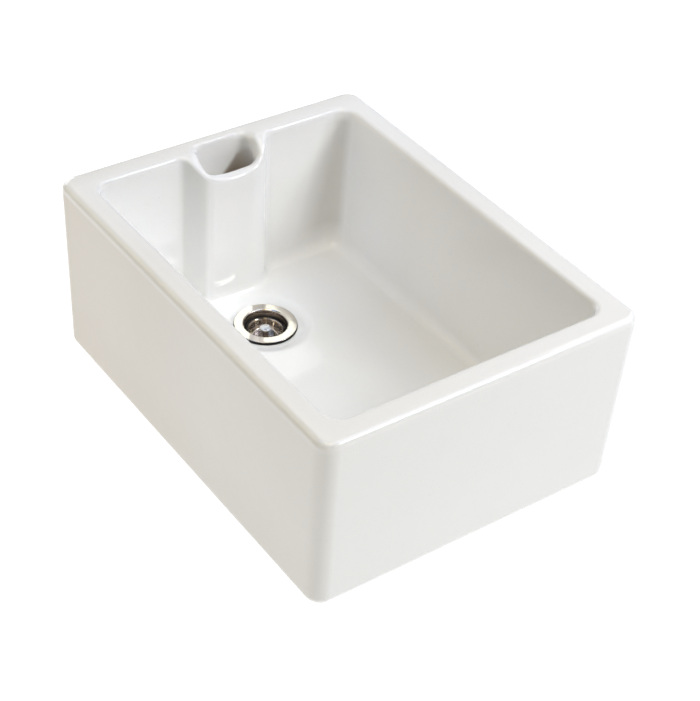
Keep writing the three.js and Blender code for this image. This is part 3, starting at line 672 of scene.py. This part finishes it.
def build_waste_body():
    under = FLANGE_Z - 1.6
    outline = rounded([
        (BOWL_R, FLANGE_Z, 2.7),
        (FLANGE_R, FLANGE_Z - 0.05, 0.42),
        (FLANGE_R - 0.05, FLANGE_Z - 0.85, 0.3),
        (FLANGE_R - 3.0, under, 0.8),
        (BOWL_R + 1.4, under, 0.5),
        (BOWL_R + 1.4, 18.5, 3.0),
        (24.6, 11.6, 1.5),
        (TAIL_R, 10.4, 0.5),
        (TAIL_R, TAIL_END_Z, 0.9),
        (TAIL_BORE_R, TAIL_END_Z, 0.4),
        (TAIL_BORE_R, 10.6, 1.6),
        (22.2, 12.2, 1.5),
        (25.6, 16.8, 2.0),
        (28.3, 20.3, 1.6),
        (28.3, 23.2, 1.2),
        (BOWL_R, 28.2, 2.0),
    ], 4)
    shell = outline_distance(outline)

    def field(r, turn, z):
        x, y = r * np.cos(turn), r * np.sin(turn)
        d = shell(r, z)
        cut = r - thread(TAIL_R - 0.02, r, turn, z, 1.05, -41.0, 0.5)
        d = np.maximum(d, np.where(z < 1.0, cut * 0.8, -9.0))
        # four overflow slots in line with the duct
        for u, v in ((x, y), (y, x)):
            slot = smax(rrect(v, z - 5.65, 7.0, 4.15, 2.2), 15.0 - np.abs(u), 0.3)
            d = smax(d, -slot, 0.3)
        cross = np.minimum(bar(x, y, z, 22.4, 1.6, -12.0, -7.0, 0.5), bar(x, y, z, 1.6, 22.4, -12.0, -7.0, 0.5))
        hub = smax(r - 8.0, np.maximum(z + 7.0, -12.0 - z), 0.6)
        d = smin(d, smin(cross, hub, 1.2), 1.0)
        return smax(d, 5.6 - r, 0.3)

    A = graded((4.5, 0.55), (9, 0.7), (18, 1.1), (20.6, 0.42), (24.8, 0.42), (28, 0.5), (31.2, 0.45), (33, 0.9), (40, 0.9), (41.6, 0.35), (43.2, 0.32))
    B = np.arange(120) * 2 * math.pi / 120 + 0.5 * 2 * math.pi / 120
    C = graded((-42.8, 0.42), (0.5, 0.42), (10, 0.55), (20, 0.5), (26, 0.55), (30.8, 0.34), (33.6, 0.3))
    P, F, N = skin(field, A, B, C, polar=True, rounds=3, reach=0.4)
    P[:, 0] += WASTE_X
    ob = write_mesh("waste_body_chrome", P, F, N)
    return place(ob, CHROME, "sink", "polished_chrome", "waste_body")


def build_basket_cup():
    outline = rounded([
        (24.3, 23.2, 0.35),
        (24.3, 24.0, 0.40),
        (23.2, 24.0, 0.6),
        (22.1, 22.8, 1.2),
        (20.7, 13.0, 2.6),
        (18.6, 9.3, 2.4),
        (9.0, 8.95, 1.0),
        (7.2, 9.05, 1.0),
        (3.3, 9.0, 0.15),
        (3.3, 8.0, 0.15),
        (17.6, 8.15, 3.2),
        (21.6, 11.6, 2.8),
        (22.9, 22.6, 0.6),
        (23.3, 23.15, 0.4),
    ], 4)
    shell = outline_distance(outline)
    count = 16

    def field(r, turn, z):
        d = shell(r, z)
        # tall slots round the wall, between each two a small hole
        pitch = 2 * math.pi / count
        first = math.radians(9.7)
        a = (turn - first + pitch / 2) % pitch - pitch / 2
        slot = np.maximum(rrect(a * r, z - 16.6, 1.2, 3.1, 1.15), 17.0 - r)
        d = smax(d, -slot, 0.18)
        b = (turn - first) % pitch - pitch / 2
        dot = np.maximum(np.hypot(b * r, z - 15.8) - 1.0, 17.0 - r)
        d = smax(d, -dot, 0.15)
        # rings of holes in the floor
        for ring_r, n, off in ((15.3, 24, 0.0), (11.6, 18, 0.5), (8.0, 12, 0.0)):
            p = 2 * math.pi / n
            c = (turn + off * p + math.pi) % p - p / 2
            hole = np.maximum(np.hypot(r - ring_r, c * ring_r) - 1.05, z - 10.6)
            d = smax(d, -hole, 0.15)
        return d

    A = graded((2.7, 0.36), (20, 0.34), (23, 0.28), (24.9, 0.26))
    B = np.arange(256) * 2 * math.pi / 256 + 0.5 * 2 * math.pi / 256
    C = graded((7.4, 0.25), (9.8, 0.28), (12, 0.36), (21, 0.36), (22.5, 0.28), (24.6, 0.25))
    P, F, N = skin(field, A, B, C, polar=True, rounds=3, reach=0.3)
    P[:, 0] += WASTE_X
    ob = write_mesh("basket_cup_pressed", P, F, N)
    return place(ob, STEEL, "basket", "basket_steel", "basket_cup")


def build_back_nut():
    ring = outline_distance(rounded([(24.4, -5.5, 0.3), (39.0, -5.5, 0.5), (39.0, -7.6, 0.9), (36.4, -8.2, 0.8), (24.4, -8.4, 0.2)], 3))

    def field(r, turn, z):
        # flats face +X and every 60 degrees on
        a = (turn + math.pi * 7 / 6) % (math.pi / 3) - math.pi / 6
        hexagon = r * np.cos(a) - 32.0
        body = smax(hexagon, np.maximum(z + 7.0, -18.0 - z), 0.5)
        chamfer = (r - 33.9) * 0.5 - (z + 18.0) * 0.866
        body = smax(body, chamfer, 0.4)
        d = smin(ring(r, z), body, 0.8)
        bore = thread(TAIL_R + 1.15, r, turn, z, 0.85, -18.6, -5.0)
        lead = np.maximum(bore, np.maximum(TAIL_R + 0.3, 25.8 - np.minimum(np.abs(z + 18.0), np.abs(z + 5.5)) * 0.9))
        return np.maximum(d, (lead - r) * 0.85)

    A = graded((23.4, 0.42), (26.5, 0.42), (30, 0.9), (36, 0.7), (38.4, 0.5), (39.8, 0.4))
    B = np.arange(144) * 2 * math.pi / 144 + 0.5 * 2 * math.pi / 144
    C = graded((-18.7, 0.4), (-9, 0.42), (-4.9, 0.35))
    P, F, N = skin(field, A, B, C, polar=True, rounds=3, reach=0.4)
    P[:, 0] += WASTE_X
    ob = write_mesh("back_nut_brass", P, F, N)
    return place(ob, BRASS, "sink", "brass", "back_nut")


def build_stem_nut():
    def field(r, turn, z):
        # 9 mm across flats, a corner towards +X
        a = (turn + math.pi) % (math.pi / 3) - math.pi / 6
        hexagon = r * np.cos(a) - 4.5
        body = smax(hexagon, np.maximum(z - 6.4, 2.9 - z), 0.15)
        body = smax(body, (r - 4.7) * 0.5 + (np.abs(z - 4.65) - 1.75) * 0.866, 0.15)
        bore = 3.3 + np.maximum(0.0, np.abs(z - 4.65) - 1.35) * 0.8
        return smax(body, bore - r, 0.1)

    A = graded((2.9, 0.2), (5.6, 0.22))
    B = np.arange(96) * 2 * math.pi / 96 + 0.5 * 2 * math.pi / 96
    C = graded((2.6, 0.18), (6.7, 0.18))
    P, F, N = skin(field, A, B, C, polar=True, rounds=3, reach=0.15)
    P[:, 0] += WASTE_X
    ob = write_mesh("stem_nut_hexagon", P, F, N)
    return place(ob, STEEL, "basket", "basket_steel", "stem_nut")


def build_detent_ring():
    """A split snap ring, sprung into the stem's groove."""
    def field(r, turn, z):
        x, y = r * np.cos(turn), r * np.sin(turn)
        d = smax(smax(r - 3.5, 2.85 - r, 0.12), np.abs(z + 13.8) - 0.48, 0.15)
        gap = np.maximum(np.abs(y) - 0.55, -x)
        return smax(d, -gap, 0.12)

    A = graded((2.5, 0.1), (3.8, 0.1))
    B = np.arange(120) * 2 * math.pi / 120 + 0.5 * 2 * math.pi / 120
    C = graded((-14.5, 0.12), (-13.1, 0.12))
    P, F, N = skin(field, A, B, C, polar=True, rounds=3, reach=0.1)
    P[:, 0] += WASTE_X
    ob = write_mesh("detent_ring_split", P, F, N)
    return place(ob, STEEL, "basket_catch", "basket_steel", "detent_ring")


def build_turned():
    under = FLANGE_Z - 1.6
    put = lambda name, outline, material, body, slot, node, sides=128: place(
        write_mesh(name, *turned(outline, sides)), material, body, slot, node)
    # rubber under the flange, squeezed out a little at its edge
    put("flange_gasket_rubber", rounded([
        (31.3, SEAT_Z + 0.1, 0.2), (42.9, SEAT_Z + 0.1, 0.5), (43.2, SEAT_Z + 1.4, 1.2), (43.0, FLANGE_Z - 1.7, 1.0),
        (42.6, FLANGE_Z - 1.1, 0.3), (41.8, FLANGE_Z - 1.15, 0.3), (39.3, under - 0.3, 0.6), (31.3, under - 0.3, 0.2)]),
        RUBBER, "sink", "black_rubber", "flange_gasket", 160)
    put("underside_gasket_rubber", rounded([
        (24.3, -3.3, 0.3), (27.0, -3.3, 0.3), (27.4, -2.9, 0.3), (28.2, -2.9, 0.3), (28.6, -3.3, 0.3), (33.0, -3.3, 0.3), (33.4, -2.9, 0.3),
        (34.2, -2.9, 0.3), (34.6, -3.3, 0.3), (41.0, -3.3, 1.0), (42.0, -1.6, 1.2), (42.0, 2.7, 1.0), (24.3, 2.7, 0.5)], 3),
        RUBBER, "sink", "black_rubber", "underside_gasket")
    put("slip_washer_nylon", rounded([(24.3, -5.2, 0.25), (41.0, -5.2, 0.45), (41.0, -3.6, 0.45), (24.3, -3.6, 0.25)]),
        NYLON, "sink", "white_nylon", "slip_washer")
    put("hub_bush_nylon", rounded([
        (3.8, -12.6, 0.25), (4.9, -12.6, 0.2), (5.3, -11.9, 0.3), (5.3, -6.7, 0.15), (6.9, -6.7, 0.25), (6.9, -5.6, 0.4), (3.8, -5.6, 0.35)], 4),
        NYLON, "sink", "white_nylon", "hub_bush", 72)
    # rubber round the basket's rim, with a soft sealing lip
    put("basket_rim_seal_rubber", rounded([
        (23.3, 20.5, 0.3), (27.1, 20.5, 0.7), (27.9, 21.6, 0.8), (27.85, 23.5, 0.7), (27.2, 24.15, 0.7), (24.65, 24.1, 0.35), (24.65, 22.75, 0.2), (23.35, 22.5, 0.2)]),
        RUBBER, "basket", "black_rubber", "basket_rim_seal")
    put("basket_knob_chrome", rounded([
        (0.0, 24.6), (3.3, 24.6, 0.1), (3.3, 23.4, 0.1), (5.8, 23.5, 0.6), (7.5, 24.0, 0.7), (7.75, 24.9, 0.55), (7.2, 25.8, 1.2), (5.2, 26.55, 3.0), (2.6, 26.95, 4.0), (0.0, 27.0)], 6),
        KNOB, "basket", "knob_chrome", "basket_knob", 96)
    put("basket_stem_turned", rounded([
        (0.0, -17.0), (2.1, -17.0, 0.3), (3.0, -16.0, 0.4), (3.0, -14.6, 0.08), (2.55, -14.6, 0.08), (2.55, -13.0, 0.08), (3.0, -13.0, 0.08),
        (3.0, 9.3, 0.1), (5.0, 9.3, 0.35), (5.0, 11.2, 0.3), (4.7, 11.6, 0.3), (4.7, 21.2, 0.3), (5.0, 21.6, 0.3), (5.0, 22.4, 0.5), (4.3, 23.1, 0.4), (3.0, 23.1, 0.05), (3.0, 24.3, 0.1), (0.0, 24.3)], 4),
        STEEL, "basket", "basket_steel", "basket_stem", 72)
    put("stem_washer_steel", rounded([(3.3, 6.7, 0.1), (6.2, 6.7, 0.3), (6.2, 7.7, 0.2), (3.3, 7.7, 0.1)], 3),
        STEEL, "basket", "basket_steel", "stem_washer", 72)


build_basin()
build_waste_body()
build_basket_cup()
build_back_nut()
build_stem_nut()
build_detent_ring()
build_turned()


# ---------------------------------------------------------------- stage, light, camera
def build_floor():
    """Pale floor at the height the sink stands on, open under the sink where its waste goes down."""
    verts, faces = [], []
    inner = [(-265, -195), (265, -195), (265, 195), (-265, 195)]
    rings = [1.0, 1.6, 4.0, 14.0]
    for s in rings:
        for x, y in inner:
            verts.append((x * s, y * s, 0.0))
    for k in range(len(rings) - 1):
        for i in range(4):
            j = (i + 1) % 4
            faces.append((4 * k + i, 4 * k + 4 + i, 4 * k + 4 + j, 4 * k + j))
    ob = write_mesh("stage_floor", verts, faces)
    # a white sheet lit from behind: shadows on it are washed out
    m, nt, bsdf = new_material("pale_floor")
    tex = nt.nodes.new("ShaderNodeTexCoord").outputs["Object"]
    nt.links.new(ramp(nt, noise(nt, tex, 2.0, 3.0), (0.3, (0.90, 0.90, 0.895)), (0.7, (0.92, 0.92, 0.915))), bsdf.inputs["Base Color"])
    bsdf.inputs["Roughness"].default_value = 0.9
    bsdf.inputs["Specular IOR Level"].default_value = 0.0
    glow = nt.nodes.new("ShaderNodeEmission")
    glow.inputs["Strength"].default_value = 1.25
    blend = nt.nodes.new("ShaderNodeMixShader")
    blend.inputs["Fac"].default_value = 0.8
    nt.links.new(bsdf.outputs["BSDF"], blend.inputs[1])
    nt.links.new(glow.outputs["Emission"], blend.inputs[2])
    nt.links.new(blend.outputs["Shader"], nt.nodes["Material Output"].inputs["Surface"])
    ob.data.materials.append(m)


def area_light(name, place_mm, aim_mm, size, power, colour=(1, 1, 1)):
    data = bpy.data.lights.new(name, "AREA")
    data.shape = "RECTANGLE"
    data.size, data.size_y = size
    data.energy = power
    data.color = colour
    ob = bpy.data.objects.new(name, data)
    ob.location = Vector(place_mm) * MM
    ob.rotation_euler = (Vector(aim_mm) - Vector(place_mm)).to_track_quat("-Z", "Y").to_euler()
    bpy.context.scene.collection.objects.link(ob)
    return ob


def build_light():
    """A soft key from the right, a white ceiling and weak fills round a dark room."""
    world = bpy.data.worlds.new("studio")
    world.use_nodes = True
    bg = world.node_tree.nodes["Background"]
    bg.inputs["Color"].default_value = (1.0, 1.0, 1.0, 1)
    bg.inputs["Strength"].default_value = 0.0
    bpy.context.scene.world = world
    area_light("key", (2140, 1590, 2330), (2140, 1590, 0), (1.00, 0.92), 50.5, (0.904, 1.0, 0.855))
    for name, turn, rise, red, green, blue in (
        ("fill_behind", 180, 15, 13.8, 14.0, 15.6),
        ("fill_left", 228, 30, 6.4, 5.2, 2.4),
        ("ceiling_left", 270, 65, 2.5, 4.6, 8.2),
        ("ceiling_camera", 315, 65, 16.5, 13.6, 8.2),
        ("ceiling_right", 45, 65, 9.2, 10.2, 12.2),
        ("ceiling_far", 158, 66, 2.0, 2.1, 2.3),
        ("fill_right", 90, 40, 12.5, 12.4, 12.9),
        ("fill_key_side", 45, 40, 7.2, 6.4, 10.1),
    ):
        a, e = math.radians(turn), math.radians(rise)
        spot = (2300 * math.cos(e) * math.cos(a), 2300 * math.cos(e) * math.sin(a), 130 + 2300 * math.sin(e))
        power = max(red, green, blue)
        area_light(name, spot, (0, 0, 130), (1.2, 1.2), power, (red / power, green / power, blue / power))


def build_camera():
    data = bpy.data.cameras.new("camera")
    data.sensor_fit = "HORIZONTAL"
    data.sensor_width = 36.0
    data.lens = 1756.3 / 700.0 * 36.0
    data.clip_start = 0.01
    data.clip_end = 100.0
    ob = bpy.data.objects.new("camera", data)
    right = Vector((0.5751, 0.8157, 0.0618)).normalized()
    forward = Vector((-0.6164, 0.4817, -0.6229)).normalized()
    up = right.cross(forward).normalized()
    right = forward.cross(up).normalized()
    m = Matrix((right, up, -forward)).transposed().to_4x4()
    m.translation = Vector((1385.3, -1055.0, 1479.6)) * MM
    ob.matrix_world = m
    bpy.context.scene.collection.objects.link(ob)
    bpy.context.scene.camera = ob


build_floor()
build_light()
build_camera()
bpy.context.scene.view_settings.view_transform = "Standard"
